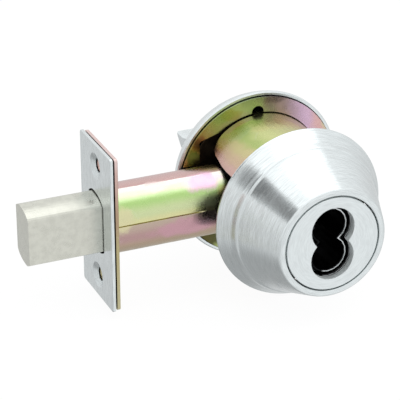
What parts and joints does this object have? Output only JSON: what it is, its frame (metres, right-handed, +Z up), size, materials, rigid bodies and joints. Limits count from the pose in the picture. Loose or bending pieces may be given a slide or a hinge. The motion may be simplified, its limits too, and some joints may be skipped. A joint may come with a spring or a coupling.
{
  "type": "deadbolt door lock",
  "caption": "Tubular deadbolt door lock with a tapered free-turning cylinder collar, an empty figure-eight core chamber, a thrown bolt and an inside thumbturn.",
  "frame": {"origin": "where the cylinder axis crosses the bolt axis, in the middle of the drum", "axes": "+X away from the bolt's end along the bolt, +Y through the door from the key side to the thumbturn side, +Z up"},
  "size_m": [0.1239, 0.0997, 0.063],
  "materials": {
    "satin_chrome": "satin chrome plate with fine brush lines",
    "bolt_steel": "warm grey satin steel",
    "zinc_dichromate": "zinc plate with yellow, green and pink dichromate colours",
    "plain_steel": "bright zinc-plated steel",
    "hard_steel": "dark hardened steel",
    "housing_metal": "satin-plated brass",
    "nylon": "off-white nylon"
  },
  "bodies": {
    "lock_body": {"faceplate": "satin_chrome", "backing_plate": "zinc_dichromate", "latch_tube": "zinc_dichromate", "case_plate_key_side": "plain_steel", "case_plate_turn_side": "plain_steel", "case_rivet_front": "plain_steel", "case_rivet_rear": "plain_steel", "core_housing": "housing_metal", "face_disc": "satin_chrome", "collar_retaining_ring": "hard_steel", "reinforcing_drum": "zinc_dichromate", "mounting_plate": "zinc_dichromate", "support_plate": "plain_steel", "shaft_bushing": "nylon", "through_screw_front": "plain_steel", "through_screw_rear": "plain_steel", "inside_rose": "satin_chrome", "rose_set_screw": "hard_steel"},
    "bolt": {"bolt": "bolt_steel", "bolt_fork": "plain_steel", "fork_pin": "hard_steel", "drive_pin": "hard_steel", "anti_saw_rod_upper": "hard_steel", "anti_saw_rod_lower": "hard_steel"},
    "turnpiece": {"thumbturn": "satin_chrome", "thumbturn_shaft": "plain_steel", "shaft_clip": "plain_steel", "tailpiece": "plain_steel", "cam": "plain_steel", "drive_plate": "plain_steel"},
    "throw_member": {"throw_member": "plain_steel"},
    "collar": {"collar": "satin_chrome"}
  },
  "joints": [
    {"name": "thumbturn_turn", "type": "hinge", "parent": "lock_body", "child": "turnpiece", "pos_m": [0, 0, 0], "axis": [0, -1, 0], "range_deg": [0, 90]},
    {"name": "bolt_slide", "type": "slide", "parent": "lock_body", "child": "bolt", "axis": [1, 0, 0], "range_m": [0, 0.0254]},
    {"name": "throw_turn", "type": "hinge", "parent": "lock_body", "child": "throw_member", "pos_m": [0, 0, -0.0053], "axis": [0, -1, 0], "range_deg": [0, 90]},
    {"name": "collar_spin", "type": "hinge", "parent": "lock_body", "child": "collar", "pos_m": [0, 0, 0], "axis": [0, 1, 0], "continuous": true}
  ],
  "couplings": [
    {"joint": "bolt_slide", "follows": "thumbturn_turn", "m_per_rad": 0.01617},
    {"joint": "throw_turn", "follows": "thumbturn_turn", "ratio": 1}
  ]
}
